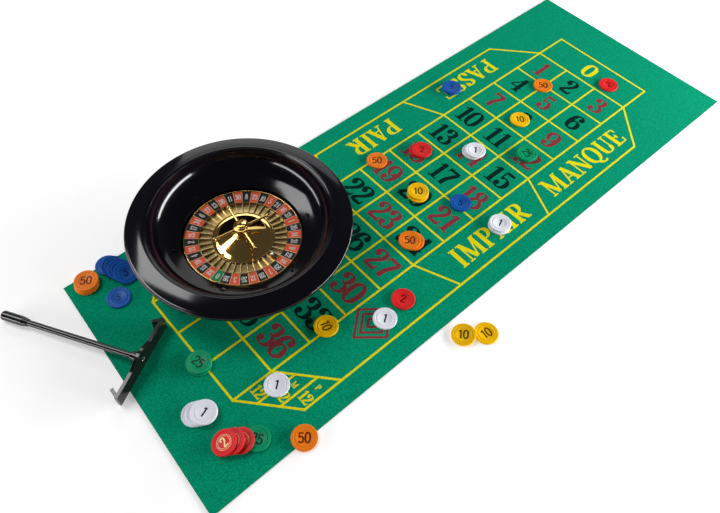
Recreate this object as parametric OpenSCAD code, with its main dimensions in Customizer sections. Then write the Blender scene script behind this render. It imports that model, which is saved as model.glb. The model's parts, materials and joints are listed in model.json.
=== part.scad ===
// Tabletop roulette set: a printed felt layout, a moulded wheel with a spinning
// rotor, a croupier's rake, a steel ball and loose chips lying where they were bet.
// Origin: middle of the cloth's underside. +X runs to the zero end of the layout,
// +Y to its high-number side, +Z is up. Wheel heights are above the cloth.

/* [Layout cloth] */
// Length of one number box, along the cloth
cell_l = 61; // [40:0.5:80]
// Width of one number box, across the cloth
cell_w = 60; // [40:0.5:80]
// Plain cloth past the layout at each end
end_margin = 136; // [125:1:200]
// Cloth beside the number boxes on each side
side_margin = 95; // [80:1:140]
// Thickness of the felt
cloth_t = 1.2; // [0.8:0.1:2.5]
// How much longer one edge of the cloth is, as its end is cut askew
end_skew = 17; // [0:1:30]

/* [Wheel bowl] */
// Radius of the rim
rim_r = 150.5; // [145:0.5:190]
// Height of the rim's crest
rim_z = 65; // [60:0.5:68]
// Radius of the lip at the inner edge of the rim
lip_r = 121; // [118:0.5:135]
// Gap between the rotor and the cup that it turns in
cup_gap = 2.6; // [1.5:0.1:5]
// Thickness of the moulded shell
shell_t = 3; // [2:0.1:4]
// Height of the cup's floor
floor_z = 11.4; // [11:0.1:14]
// Height of the sloping apron at the edge of the cup
apron_z = 25.8; // [25:0.1:30]
// Outer radius of the foot ring
foot_r = 92; // [88:0.5:110]
// Distance from the foot ring to the cloth's edge
foot_inset = 6.2; // [2:0.2:30]
// Layout row that the wheel's axis stands on
wheel_row = 10.56; // [9.5:0.02:11]
// Thickness of the rubber pads under the foot ring
pad_t = 1; // [0.6:0.1:2]
// Number of ball deflectors on the apron
deflector_n = 6; // [4:1:12]
// Length of a deflector
deflector_l = 10; // [6:0.5:14]

/* [Rotor] */
// Outer radius of the rotor
rotor_r = 81; // [78:0.5:83]
// Inner radius of the number ring
number_r = 61; // [58:0.5:64]
// Radius of the cone inside the pockets
cone_r = 42.3; // [38:0.1:46]
// Top of the number ring at its outer edge
number_z = 21.5; // [21:0.1:24]
// Number of pockets
pocket_n = 37; // [30:1:38]
// Angle of the zero pocket's middle
zero_turn = -153.9; // [-180:0.1:180]
// Thickness of a separator between pockets
fret_t = 0.6; // [0.4:0.1:1]
// Height of the cone's top
cone_z = 29.5; // [26:0.5:32]
// Running gap under the rotor
rotor_lift = 1.2; // [0.6:0.1:2]

/* [Turret] */
// Height of the four arms
arm_z = 41.7; // [40:0.1:50]
// Reach of an arm to the middle of its knob
arm_reach = 39.6; // [30:0.1:44]
// Radius of an arm
arm_r = 1.7; // [1.2:0.1:2.5]
// Radius of an arm's knob
knob_r = 2.8; // [2.2:0.1:3.5]
// Direction of the first arm
arm_turn = -9.2; // [-45:0.1:45]
// Radius of the stepped cap
cap_r = 10.5; // [8:0.1:14]

/* [Bearing] */
// Bore of the ball bearing
bearing_bore = 8; // [7:0.5:9]
// Outside diameter of the ball bearing
bearing_od = 22; // [21:0.5:24]
// Width of the ball bearing
bearing_w = 7; // [6:0.5:7]
// Radial clearance of a running or slip fit
slip = 0.03; // [0.01:0.01:0.08]

/* [Ball] */
// Diameter of the roulette ball
ball_d = 8; // [6.5:0.1:9.6]
// Gap left round the ball in its pocket
ball_gap = 0.1; // [0.1:0.05:0.3]

/* [Rake] */
// Length of the handle from the blade's face to the end of the grip
rake_l = 200; // [160:1:260]
// Length of the blade
blade_l = 114; // [90:1:140]
// Height of the blade at its ends
blade_h = 20; // [16:0.5:26]
// Thickness of the blade
blade_t = 4.4; // [3:0.1:5.5]
// Length of the turned-in ends of the blade
hook_l = 13; // [8:0.5:16]
// Radius of the handle's shaft
shaft_r = 4; // [3:0.1:4.5]
// Radius of the grip
grip_r = 6.5; // [5.8:0.1:7.5]
// Length of the grip
grip_l = 38; // [30:1:60]

/* [Chips] */
// Diameter of a chip
chip_d = 32; // [28:0.5:38]
// Thickness of a chip
chip_t = 3; // [2.2:0.1:3.6]
// Gap left between chips that lie on each other
chip_gap = 0.05; // [0.02:0.01:0.1]

/* [Hidden] */
$fn = 96;
rows = 12;
columns = 3;

// Cloth and the places on it
cloth_l = rows * cell_l + 2 * end_margin;
cloth_w = columns * cell_w + 2 * side_margin;
function row_x(row) = (rows / 2 - row) * cell_l;
function column_y(column) = (columns / 2 - column) * cell_w;
function past_end(distance) = row_x(rows) - distance;

// Wheel
wheel_x = row_x(wheel_row);
wheel_y = cloth_w / 2 - foot_inset - foot_r;
cup_r = rotor_r + cup_gap;
floor_under = floor_z - shell_t;
foot_w = 7;
track_low = 23.3;
track_high = 80;
// The track's curve is the one that meets both the apron and the wall under the lip
track_r = (rim_z - 5.2 - apron_z - (lip_r - 0.5 - cup_r) * tan(track_low))
    / (cos(track_low) - cos(track_high) - (sin(track_high) - sin(track_low)) * tan(track_low));
track_run = track_r * (sin(track_high) - sin(track_low));
track_rise = track_r * (cos(track_low) - cos(track_high));
apron_end_r = lip_r - 0.5 - track_run;
apron_end_z = apron_z + (apron_end_r - cup_r) * tan(track_low);
wall_top_z = apron_end_z + track_rise;
apron_under = apron_z + (foot_r + 1 - cup_r) * tan(track_low) - shell_t / cos(track_low);
crest_r = lip_r + 4.5;
nose_r = 3.2;
nose_z = rim_z - 9;
plate_t = 1.6;
plate_z = 2.4;
post_r = 3.6;
base_screw_r = 1.4;
screw_ring_r = foot_r - foot_w - 8;
deflector_w = 5;
deflector_h = 2;
deflector_ring_r = cup_r + 0.593 * (apron_end_r - cup_r);
deflector_turn = 38.5;
nut_af = 10;
nut_h = 3;
spindle_r = bearing_bore / 2 - slip;
stub_r = 3;
shoulder_r = 5.6;

// Rotor
rotor_under = floor_z + rotor_lift;
rotor_t = 2.4;
tray_z = rotor_under + rotor_t;
number_t = 0.8;
number_fall = 1.2;
rim_seat = 1.8;
tray_t = 1.4;
pocket_z = tray_z + tray_t;
tray_wall = 1;
fret_in_r = cone_r + 0.2 + tray_wall;
fret_out_r = number_r - tray_wall;
fret_low_z = pocket_z + 2.8;
fret_high_z = number_z - number_fall - 0.1;
hub_wall = 5;
hub_r = bearing_od / 2 + hub_wall;
bearing_z = rotor_under;
bearing_top = bearing_z + bearing_w;
hub_top = bearing_top + 2.2;
cone_edge_z = tray_z + 3.6;
cone_t = 1.6;
cone_top_r = 12;
cone_flare_r = cone_r - 9;
cone_slope = (cone_z - cone_edge_z) / (cone_flare_r - cone_top_r + (cone_r - cone_flare_r) / 2);
cone_steps = concat([cone_top_r], [for (i = [0:5]) cone_flare_r + (cone_r - cone_flare_r) * i / 5]);
cone_screw_ring = 28;
cone_screw_r = 1.2;
function cone_at(r) =
    r <= cone_flare_r ? cone_z - cone_slope * max(r - cone_top_r, 0)
    : cone_edge_z + cone_slope * pow(cone_r - r, 2) / (cone_r - cone_flare_r) / 2;
function fret_top(r) =
    fret_low_z + (fret_high_z - fret_low_z) * (r - fret_in_r) / (fret_out_r - fret_in_r);

// Turret
stud_r = 2;
base_r = 11.5;
base_h = 5;
hub_h = 5.4;
arm_hub_r = 6.4;
hub_low = arm_z - hub_h / 2;
cap_low = hub_low + hub_h;
cap_step = 1;
turret_nut_h = 2.4;

// Bearing
ring_t = (bearing_od - bearing_bore) / 2;
ball_ring_r = (bearing_od + bearing_bore) / 4;
bearing_ball_r = ring_t * 0.28;
race_t = ring_t * 0.3;
race_gap = 0.08;
race_n = 7;

// Ball: in its pocket when it fits between two frets, otherwise across their tops
ball_r = ball_d / 2;
ball_turn = zero_turn + 8 * 360 / pocket_n;
ball_ring_max = fret_out_r - ball_r - 0.3;
ball_ring_fit = (ball_r + fret_t / 2 + ball_gap) / sin(180 / pocket_n);
ball_fits = ball_ring_fit <= ball_ring_max;
ball_ring = ball_fits ? ball_ring_fit : (fret_in_r + fret_out_r) / 2;
ball_half_gap = ball_ring * sin(180 / pocket_n) - fret_t / 2;
ball_over = sqrt(pow(ball_r + ball_gap, 2) - pow(min(ball_half_gap, ball_r), 2));
ball_z = ball_fits ? pocket_z + chip_gap + ball_r
    : fret_top(ball_ring) + ball_over + ball_r * 0.12;

// Rake: its blade stands on the cloth and its grip lies on what the cloth lies on
rake_x = past_end(113);
rake_y = 21;
rake_turn = 120;
rake_z = cloth_t + blade_h * 0.75;
hump_h = 8;
hump_l = 44;
rake_drop = asin((rake_z - grip_r - 0.1) / (rake_l - 3));
socket_r = shaft_r + 2;
socket_l = 12;
rib_t = 2.2;
rib_h = shaft_r + 2.4;
hook_turn = 32;
rake_screw_r = 1.5;

// Chips
chip_r = chip_d / 2;
chip_bevel = 0.35;
chip_dish = 0.25;
function lean(pitch) = asin((chip_t + chip_gap) / pitch);
edge_overhang = 13.5;

// Piles that lie flat: name, x, y, how many, how far each slides on the last, which way
FLAT = [
    ["chip_red_zero", row_x(-0.4), column_y(2.18), 1, 0, 0],
    ["chip_orange_row_1", row_x(1.05), column_y(0.99), 1, 0, 0],
    ["chips_blue_passe", row_x(3.1), column_y(-0.6), 2, 1.2, 200],
    ["chip_yellow_row_3", row_x(2.58), column_y(1.47), 1, 0, 0],
    ["chips_green_row_4", row_x(3.42), column_y(2.42), 2, 1.5, 250],
    ["chips_white_row_5", row_x(4.42), column_y(1.45), 2, 4.5, 320],
    ["chips_red_row_6", row_x(5.44), column_y(0.53), 2, 4, 300],
    ["chip_blue_row_6", row_x(5.88), column_y(2.44), 1, 0, 0],
    ["chips_white_impair", row_x(5.68), column_y(3.53), 2, 2.5, 20],
    ["chips_yellow_row_7", row_x(6.48), column_y(1.56), 2, 3, 40],
    ["chip_orange_row_7", row_x(6.5), column_y(0.08), 1, 0, 0],
    ["chips_orange_row_8", row_x(7.55), column_y(2.52), 2, 5, 150],
    ["chip_red_row_9", row_x(8.8), column_y(3.52), 1, 0, 0],
    ["chip_white_row_10", row_x(9.43), column_y(3.62), 1, 0, 0],
    ["chip_yellow_row_11", row_x(10.5), column_y(2.93), 1, 0, 0],
    ["chip_white_dozen", row_x(12.1), column_y(3.32), 1, 0, 0],
    ["chips_green_end", past_end(62), column_y(1.91), 2, 1.5, 60],
    ["chip_blue_end", past_end(88), column_y(-0.57), 1, 0, 0],
    ["chips_orange_corner", past_end(110), column_y(-1.32), 3, 1.2, 30],
    ["chips_white_fan", past_end(102), column_y(2.76), 3, 6, -40]
];

// Piles of chips that lean on each other, each with its lower edge on the ground:
// name, x and y of the flat one, height of the ground, direction, distances
LEANING = [
    ["chips_blue_fan", past_end(74), cloth_w / 2 - 6, cloth_t, -67, [0, 10.5, 10.5, 10.5], 0],
    ["chips_red_fan", past_end(64), column_y(3.96), cloth_t, 149, [0, 17.7, 9, 9], 1],
    ["chips_yellow_pair", row_x(8.03), -cloth_w / 2 - 43, 0, 145, [0, 30], 0]
];

// Colours
felt_green = [0.0, 0.52, 0.36];
black = [0.06, 0.06, 0.08];
gold = [0.85, 0.63, 0.25];
steel = [0.7, 0.7, 0.72];
CHIP_COLOURS = [
    ["white", [0.93, 0.93, 0.95]], ["red", [0.85, 0.1, 0.12]], ["blue", [0.12, 0.28, 0.7]],
    ["yellow", [0.96, 0.78, 0.1]], ["green", [0.05, 0.55, 0.35]], ["orange", [0.95, 0.5, 0.1]]
];
function at(name, word, i) = len([for (k = [0:len(word) - 1]) if (name[i + k] != word[k]) k]) == 0;
function named(name, word) = len([for (i = [0:len(name) - 1]) if (at(name, word, i)) i]) > 0;
function chip_colour(name) = [for (c = CHIP_COLOURS) if (named(name, c[0])) c[1]][0];

// Points of an arc, from one angle to another
function arc(x, y, r, from, to, steps) =
    [for (i = [0:steps]) [x + r * cos(from + (to - from) * i / steps),
                          y + r * sin(from + (to - from) * i / steps)]];

// A ring of rectangular section, bevelled on its upper edges
module band(inner, outer, low, high, bevel = 0.2)
    rotate_extrude()
        polygon([[inner, low], [outer, low], [outer, high - bevel], [outer - bevel, high],
                 [inner + bevel, high], [inner, high - bevel]]);

module at_wheel() translate([wheel_x, wheel_y, cloth_t]) children();

module around(count, ring, turn = 0)
    for (i = [0:count - 1]) rotate(turn + i * 360 / count) translate([ring, 0, 0]) children();

// ---- Cloth ----

module layout_cloth()
    color(felt_green)
        linear_extrude(cloth_t)
            polygon([[-cloth_l / 2 - end_skew, -cloth_w / 2], [cloth_l / 2, -cloth_w / 2],
                     [cloth_l / 2, cloth_w / 2], [-cloth_l / 2, cloth_w / 2]]);

// ---- Wheel ----

module bowl_section() {
    wall = arc(apron_end_r - track_r * sin(track_low), apron_end_z + track_r * cos(track_low),
               track_r, track_low - 90, track_high - 90, 8);
    outer_wall = arc(apron_end_r - track_r * sin(track_low), apron_end_z + track_r * cos(track_low),
                     track_r + shell_t, track_high - 92, track_low - 86, 6);
    nose_c = rim_r - nose_r;
    polygon(concat(
        [[stub_r + slip, floor_under], [stub_r + slip, floor_z], [cup_r, floor_z],
         [cup_r, apron_z - 0.6], [cup_r + 0.6, apron_z + 0.6 * tan(track_low)]],
        wall,
        [[lip_r, wall_top_z + 0.8], [lip_r, rim_z - 1.4], [lip_r + 0.8, rim_z - 0.6],
         [lip_r + 1.8, rim_z - 0.6], [lip_r + 2.2, rim_z - 1], [lip_r + 3, rim_z - 0.6],
         [crest_r, rim_z]],
        [for (i = [1:6]) [crest_r + (nose_c - crest_r) * i / 6,
                          rim_z - (rim_z - nose_z - nose_r) * pow(i / 6, 1.4)]],
        arc(nose_c, nose_z, nose_r, 75, -60, 7),
        [[rim_r - 1.6, nose_z - nose_r - 2.6], [rim_r - 4, nose_z - nose_r - 2.6],
         [rim_r - 4.4, nose_z - nose_r], [crest_r + 3, rim_z - shell_t - 2.4],
         [lip_r + shell_t + 1.6, rim_z - shell_t - 3]],
        outer_wall,
        [[foot_r + 1, apron_under], [foot_r, apron_under - 1.5], [foot_r, pad_t],
         [foot_r - foot_w, pad_t], [foot_r - foot_w, floor_under]]
    ));
}

module bowl()
    color(black) at_wheel() {
        rotate_extrude($fn = 180) bowl_section();
        around(4, screw_ring_r, 45)
            translate([0, 0, plate_z + plate_t])
                difference() {
                    cylinder(r = post_r, h = floor_under - plate_z - plate_t);
                    cylinder(r = base_screw_r - 0.1, h = 3.4);
                }
    }

module foot_pads()
    color([0.12, 0.12, 0.12]) at_wheel()
        around(4, foot_r - foot_w / 2)
            cylinder(r = foot_w / 2 - 0.4, h = pad_t);

module base_plate()
    color([0.15, 0.15, 0.16]) at_wheel()
        difference() {
            translate([0, 0, plate_z]) cylinder(r = foot_r - foot_w - 0.2, h = plate_t);
            around(4, screw_ring_r, 45)
                translate([0, 0, plate_z - 1]) cylinder(r = base_screw_r + 0.2, h = plate_t + 2);
        }

module pan_screw(r, head_r, head_h, length) {
    cylinder(r = r, h = length);
    translate([0, 0, -head_h])
        difference() {
            cylinder(r = head_r, h = head_h);
            translate([-head_r, -0.4, -1]) cube([2 * head_r, 0.8, 1.6]);
            translate([-0.4, -head_r, -1]) cube([0.8, 2 * head_r, 1.6]);
        }
}

module base_screws()
    color(steel) at_wheel()
        around(4, screw_ring_r, 45)
            translate([0, 0, plate_z]) pan_screw(base_screw_r - 0.1, 2.8, 1.2, plate_t + 3);

// Lozenge studs, half of them set along the slope and half across it. One that lies across
// the hollow of the apron rests on its two ends
module deflectors()
    color(black) at_wheel()
        for (i = [0:deflector_n - 1]) {
            half = (i % 2 == 0 ? deflector_w : deflector_l) / 2;
            hollow = pow(half, 2) * sin(track_low) / (2 * deflector_ring_r);
            rotate(deflector_turn + i * 360 / deflector_n)
                translate([deflector_ring_r, 0,
                           apron_z + (deflector_ring_r - cup_r) * tan(track_low)])
                    rotate([0, -track_low, 0]) rotate(i % 2 * 90)
                        translate([0, 0, hollow + 0.01]) lozenge();
        }

module lozenge()
    difference() {
        intersection() {
            linear_extrude(deflector_h)
                polygon([[-deflector_l / 2, 0], [0, -deflector_w / 2],
                         [deflector_l / 2, 0], [0, deflector_w / 2]]);
            rotate([90, 0, 0])
                linear_extrude(deflector_w, center = true)
                    polygon([[-deflector_l / 2, 0], [deflector_l / 2, 0],
                             [deflector_l / 2, 0.5], [0, deflector_h], [-deflector_l / 2, 0.5]]);
        }
        translate([0, 0, -1]) cylinder(r = 0.6, h = 2, $fn = 24);
    }

module spindle()
    color(steel) at_wheel() {
        translate([0, 0, floor_under - nut_h - 0.6]) cylinder(r = stub_r, h = nut_h + shell_t + 0.6);
        translate([0, 0, floor_z]) cylinder(r = shoulder_r, h = rotor_lift);
        translate([0, 0, bearing_z]) cylinder(r = spindle_r, h = bearing_w + 0.6);
    }

module hex_nut(across, height, bore_r)
    difference() {
        cylinder(r = across / 2 / cos(30), h = height, $fn = 6);
        translate([0, 0, -1]) cylinder(r = bore_r, h = height + 2, $fn = 48);
    }

module spindle_nut()
    color(steel) at_wheel()
        translate([0, 0, floor_under - nut_h]) hex_nut(nut_af, nut_h, stub_r + slip);

// Bearing: two races with a groove each, a ring of balls and the cage that spaces them
module groove()
    rotate_extrude()
        translate([ball_ring_r, bearing_z + bearing_w / 2])
            circle(r = bearing_ball_r + race_gap, $fn = 48);

module bearing_inner_race()
    color(steel) at_wheel()
        difference() {
            band(bearing_bore / 2, bearing_bore / 2 + race_t, bearing_z, bearing_top);
            groove();
        }

module bearing_outer_race()
    color(steel) at_wheel()
        difference() {
            band(bearing_od / 2 - race_t, bearing_od / 2, bearing_z, bearing_top);
            groove();
        }

module bearing_balls()
    color(steel) at_wheel()
        around(race_n, ball_ring_r)
            translate([0, 0, bearing_z + bearing_w / 2]) sphere(r = bearing_ball_r, $fn = 48);

module bearing_cage()
    color([0.75, 0.6, 0.3]) at_wheel()
        difference() {
            band(ball_ring_r - 0.7, ball_ring_r + 0.7,
                 bearing_z + bearing_w * 0.4, bearing_z + bearing_w * 0.9);
            around(race_n, ball_ring_r)
                translate([0, 0, bearing_z + bearing_w / 2])
                    sphere(r = bearing_ball_r + race_gap, $fn = 48);
        }

// ---- Rotor ----

module rotor_dish()
    color(black) at_wheel()
        difference() {
            rotate_extrude($fn = 180)
                polygon([[0, bearing_top + 1], [bearing_od / 2 - 2.2, bearing_top + 1],
                         [bearing_od / 2 - 2.2, bearing_top], [bearing_od / 2, bearing_top],
                         [bearing_od / 2, rotor_under],
                         [rotor_r - 0.6, rotor_under], [rotor_r, rotor_under + 0.6],
                         [rotor_r, number_z + 0.4], [rotor_r - rim_seat, number_z + 0.4],
                         [rotor_r - rim_seat, number_z - number_t],
                         [number_r, number_z - number_t - number_fall], [number_r, tray_z],
                         [hub_r, tray_z], [hub_r, hub_top - 0.6], [hub_r - 0.6, hub_top],
                         [0, hub_top]]);
            around(3, cone_screw_ring)
                translate([0, 0, rotor_under - 1]) {
                    cylinder(r = cone_screw_r + 0.2, h = rotor_t + 2);
                    cylinder(r = 2.7, h = 2.1);
                }
        }

module number_ring()
    color([0.8, 0.15, 0.1]) at_wheel()
        rotate_extrude($fn = 180)
            polygon([[number_r + 0.1, number_z - number_fall - number_t + 0.026],
                     [rotor_r - rim_seat - 0.1, number_z - number_t + 0.02],
                     [rotor_r - rim_seat - 0.1, number_z],
                     [number_r + 0.1, number_z - number_fall]]);

module rim_band()
    color(gold) at_wheel()
        band(rotor_r - rim_seat, rotor_r, number_z + 0.4, number_z + 1.1, 0.25);

module pocket_tray()
    color(gold) at_wheel()
        rotate_extrude($fn = 180)
            polygon([[cone_r + 0.2, tray_z], [number_r - 0.05, tray_z],
                     [number_r - 0.05, number_z - number_fall + 0.3],
                     [number_r - 0.3, number_z - number_fall + 0.5],
                     [number_r - tray_wall, number_z - number_fall + 0.3],
                     [number_r - tray_wall, pocket_z], [fret_in_r, pocket_z],
                     [fret_in_r, fret_low_z], [fret_in_r - 0.5, fret_low_z + 0.3],
                     [cone_r + 0.2, fret_low_z]]);

module pocket_frets()
    color(gold) at_wheel()
        for (i = [0:pocket_n - 1])
            rotate(zero_turn + (i + 0.5) * 360 / pocket_n)
                rotate([90, 0, 0])
                    linear_extrude(fret_t, center = true)
                        polygon([[fret_in_r, pocket_z], [fret_out_r - 0.1, pocket_z],
                                 [fret_out_r - 0.1, fret_high_z], [fret_in_r, fret_low_z]]);

module cone()
    color(gold) at_wheel()
        difference() {
            union() {
                rotate_extrude($fn = 180)
                    polygon(concat(
                        [[stud_r + slip, cone_z - cone_t], [stud_r + slip, cone_z]],
                        [for (r = cone_steps) [r, cone_at(r)]],
                        [[cone_r, tray_z], [cone_r - cone_t, tray_z]],
                        [for (i = [6:-1:0]) let (r = cone_steps[i])
                            [r - cone_t * (0.3 + 0.7 * r / cone_r), cone_at(r) - cone_t]]));
                around(3, cone_screw_ring)
                    translate([0, 0, tray_z])
                        cylinder(r = 2.6, h = cone_at(cone_screw_ring) - tray_z - 0.9);
            }
            around(3, cone_screw_ring)
                translate([0, 0, tray_z - 1]) cylinder(r = cone_screw_r, h = 4.2);
        }

module cone_screws()
    color(steel) at_wheel()
        around(3, cone_screw_ring)
            translate([0, 0, rotor_under + 1.1])
                pan_screw(cone_screw_r - 0.02, 2.4, 1, rotor_t + 1.8);

module turret_base()
    color(gold) at_wheel()
        rotate_extrude()
            polygon(concat(
                [[stud_r + slip, cone_z], [base_r - 0.4, cone_z], [base_r, cone_z + 0.4],
                 [base_r, cone_z + 1.4], [base_r - 1.2, cone_z + 2]],
                arc(base_r - 1.6, cone_z + base_h + 0.4, 3.4, 262, 188, 5),
                [[base_r - 5.4, cone_z + base_h], [stud_r + slip, cone_z + base_h]]));

// Turned column between the base and the arm hub, with two beads
module turret_column() {
    low = cone_z + base_h;
    span = hub_low - low;
    color(gold) at_wheel()
        rotate_extrude()
            polygon(concat(
                [[stud_r + slip, low], [4.4, low]],
                arc(4.2, low + span * 0.28, span * 0.22, -80, 80, 5),
                [[3.6, low + span * 0.54]],
                arc(4, low + span * 0.76, span * 0.18, -80, 80, 5),
                [[4.2, hub_low], [stud_r + slip, hub_low]]));
}

module arm_hub()
    color(gold) at_wheel()
        difference() {
            rotate_extrude()
                polygon([[stud_r + slip, hub_low], [arm_hub_r - 1.6, hub_low],
                         [arm_hub_r, hub_low + 1.4], [arm_hub_r, cap_low - 1.4],
                         [arm_hub_r - 1.6, cap_low], [stud_r + slip, cap_low]]);
            around(4, 3.2, arm_turn)
                translate([0, 0, arm_z]) rotate([0, 90, 0]) cylinder(r = arm_r * 0.7, h = 6, $fn = 48);
        }

// Rods with a turned bead near each end, pegged into the hub and the knobs
module arms()
    color(gold) at_wheel()
        around(4, 0, arm_turn)
            translate([0, 0, arm_z]) rotate([0, 90, 0]) {
                peg_r = arm_r * 0.7 - slip;
                translate([0, 0, 3.4]) cylinder(r = peg_r, h = arm_reach - 3.4, $fn = 48);
                translate([0, 0, arm_hub_r + 0.1])
                    cylinder(r = arm_r, h = arm_reach - knob_r - arm_hub_r - 0.6, $fn = 48);
                for (z = [arm_hub_r + 1.6, arm_reach - knob_r - 4])
                    translate([0, 0, z]) cylinder(r = arm_r + 0.6, h = 1.2, $fn = 48);
            }

module arm_knobs()
    color(gold) at_wheel()
        around(4, arm_reach, arm_turn)
            translate([0, 0, arm_z])
                difference() {
                    sphere(r = knob_r, $fn = 48);
                    translate([-knob_r - 1, 0, 0]) rotate([0, 90, 0])
                        cylinder(r = arm_r * 0.7, h = knob_r + 1.3, $fn = 48);
                }

module turret_cap()
    color(gold) at_wheel()
        difference() {
            rotate_extrude()
                polygon([[0, cap_low], [cap_r - 2.5, cap_low], [cap_r, cap_low + 0.6],
                         [cap_r, cap_low + cap_step], [cap_r - 0.6, cap_low + cap_step + 0.4],
                         [cap_r * 0.74, cap_low + cap_step], [cap_r * 0.72, cap_low + 2 * cap_step],
                         [cap_r * 0.66, cap_low + 2 * cap_step + 0.3],
                         [cap_r * 0.46, cap_low + 2 * cap_step - 0.2],
                         [cap_r * 0.42, cap_low + 3 * cap_step],
                         [cap_r * 0.3, cap_low + 3 * cap_step + 0.2], [0, cap_low + 3 * cap_step - 0.3]]);
            translate([0, 0, cap_low - 1]) cylinder(r = stud_r + slip, h = 2.8);
        }

module turret_stud()
    color(steel) at_wheel()
        translate([0, 0, cone_z - cone_t - turret_nut_h - 0.8])
            cylinder(r = stud_r, h = cap_low + 1.6 - cone_z + cone_t + turret_nut_h + 0.8);

module turret_nut()
    color(steel) at_wheel()
        translate([0, 0, cone_z - cone_t - turret_nut_h]) hex_nut(7, turret_nut_h, stud_r + slip);

module ball()
    color(steel) at_wheel()
        rotate(ball_turn) translate([ball_ring, 0, ball_z]) sphere(r = ball_r);

// ---- Rake ----

module at_rake() translate([rake_x, rake_y, rake_z]) rotate(rake_turn) children();

// Along the handle, which slopes down from the blade to the end of its grip
module along_handle() at_rake() rotate([0, rake_drop, 0]) children();

module rake_shaft()
    color(black) along_handle()
        difference() {
            union() {
                translate([blade_t / 2 + 0.2, 0, 0]) rotate([0, 90, 0])
                    cylinder(r = shaft_r, h = rake_l - grip_l * 0.4 - blade_t / 2 - 0.2, $fn = 64);
                translate([socket_l + 5, -rib_t / 2, -rib_h])
                    cube([rake_l - grip_l - socket_l - 12, rib_t, rib_h]);
            }
            rotate([0, 90, 0]) cylinder(r = rake_screw_r, h = 14, $fn = 48);
        }

module rake_grip()
    color(black) along_handle()
        translate([rake_l - grip_l, 0, 0]) rotate([0, 90, 0])
            difference() {
                rotate_extrude()
                    polygon(concat(
                        [[0, 0], [shaft_r + 0.8, 0], [grip_r - 0.3, 7], [grip_r, 12]],
                        arc(grip_r - 3, grip_l - 3, 3, 0, 90, 5),
                        [[0, grip_l]]));
                translate([0, 0, -1])
                    cylinder(r = shaft_r + slip, h = grip_l * 0.6 + 2, $fn = 64);
            }

module blade_outline() {
    low = cloth_t + chip_gap - rake_z;
    top = low + blade_h;
    half = blade_l / 2;
    polygon(concat(
        [[-half, low], [half, low], [half, top], [hump_l / 2 + 4, top]],
        [for (i = [0:10]) let (s = 1 - i / 5) [s * hump_l / 2, top + hump_h * pow(cos(90 * s), 1.2)]],
        [[-hump_l / 2 - 4, top], [-half, top]]));
}

module rake_blade() {
    low = cloth_t + chip_gap - rake_z;
    color(black) difference() {
        union() {
            at_rake() {
                rotate([90, 0, 90]) linear_extrude(blade_t, center = true) blade_outline();
                for (side = [-1, 1])
                    translate([0, side * (blade_l / 2 - blade_t / 2), low])
                        rotate(side * -hook_turn)
                            translate([0, -blade_t / 2, 0]) cube([hook_l, blade_t, blade_h]);
            }
            along_handle() rotate([0, 90, 0]) cylinder(r = socket_r, h = socket_l, $fn = 64);
        }
        along_handle() {
            translate([blade_t / 2 + 0.2, 0, 0]) rotate([0, 90, 0])
                cylinder(r = shaft_r + slip, h = socket_l + 2, $fn = 64);
            translate([-4, 0, 0]) rotate([0, 90, 0])
                cylinder(r = rake_screw_r + slip, h = 8, $fn = 48);
        }
    }
}

module rake_screw()
    color(steel) along_handle() translate([-blade_t / 2 - 0.28, 0, 0]) rotate([0, 90, 0])
        pan_screw(rake_screw_r - slip, 2.8, 1.2, 12);

// ---- Chips ----

module chip()
    rotate_extrude()
        polygon([[0, chip_dish], [chip_r * 0.8, chip_dish], [chip_r * 0.84, 0],
                 [chip_r - chip_bevel, 0], [chip_r, chip_bevel],
                 [chip_r, chip_t - chip_bevel], [chip_r - chip_bevel, chip_t],
                 [chip_r * 0.84, chip_t], [chip_r * 0.8, chip_t - chip_dish], [0, chip_t - chip_dish]]);

module flat_pile(pile)
    color(chip_colour(pile[0]))
        translate([pile[1], pile[2], cloth_t])
            for (i = [0:pile[3] - 1])
                translate([i * pile[4] * cos(pile[5]), i * pile[4] * sin(pile[5]),
                           i * (chip_t + chip_gap)])
                    chip();

function reach(pitches, i) = i < 0 ? 0 : pitches[i] + reach(pitches, i - 1);

module leaning_chip(pitches, i)
    translate([chip_r + reach(pitches, i), 0, 0])
        rotate([0, i == 0 ? 0 : lean(pitches[i]), 0])
            translate([-chip_r, 0, 0]) chip();

module at_fan(pile)
    translate([pile[1], pile[2], pile[3]]) rotate(pile[4]) children();

module leaning_pile(pile)
    color(chip_colour(pile[0]))
        at_fan(pile)
            for (i = [pile[6]:len(pile[5]) - 1]) leaning_chip(pile[5], i);

module chip_green_under_fan()
    color(chip_colour("green")) at_fan(LEANING[1]) leaning_chip(LEANING[1][5], 0);

// A chip that hangs over the cloth's edge, with its outer rim down on the table
module chip_orange_edge()
    color(chip_colour("orange"))
        translate([row_x(12.36), -cloth_w / 2, cloth_t + chip_gap])
            rotate([asin((cloth_t + chip_gap) / edge_overhang), 0, 0])
                translate([0, chip_r - edge_overhang, 0]) chip();

layout_cloth();
bowl();
foot_pads();
base_plate();
base_screws();
deflectors();
spindle();
spindle_nut();
bearing_inner_race();
bearing_balls();
bearing_cage();
bearing_outer_race();
rotor_dish();
number_ring();
rim_band();
pocket_tray();
pocket_frets();
cone();
cone_screws();
turret_base();
turret_column();
arm_hub();
arms();
arm_knobs();
turret_cap();
turret_stud();
turret_nut();
ball();
rake_shaft();
rake_grip();
rake_blade();
rake_screw();
for (pile = FLAT) flat_pile(pile);
for (pile = LEANING) leaning_pile(pile);
chip_green_under_fan();
chip_orange_edge();
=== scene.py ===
import json
import math

import bmesh
import bpy
import numpy as np
from mathutils import Matrix, Vector

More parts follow.
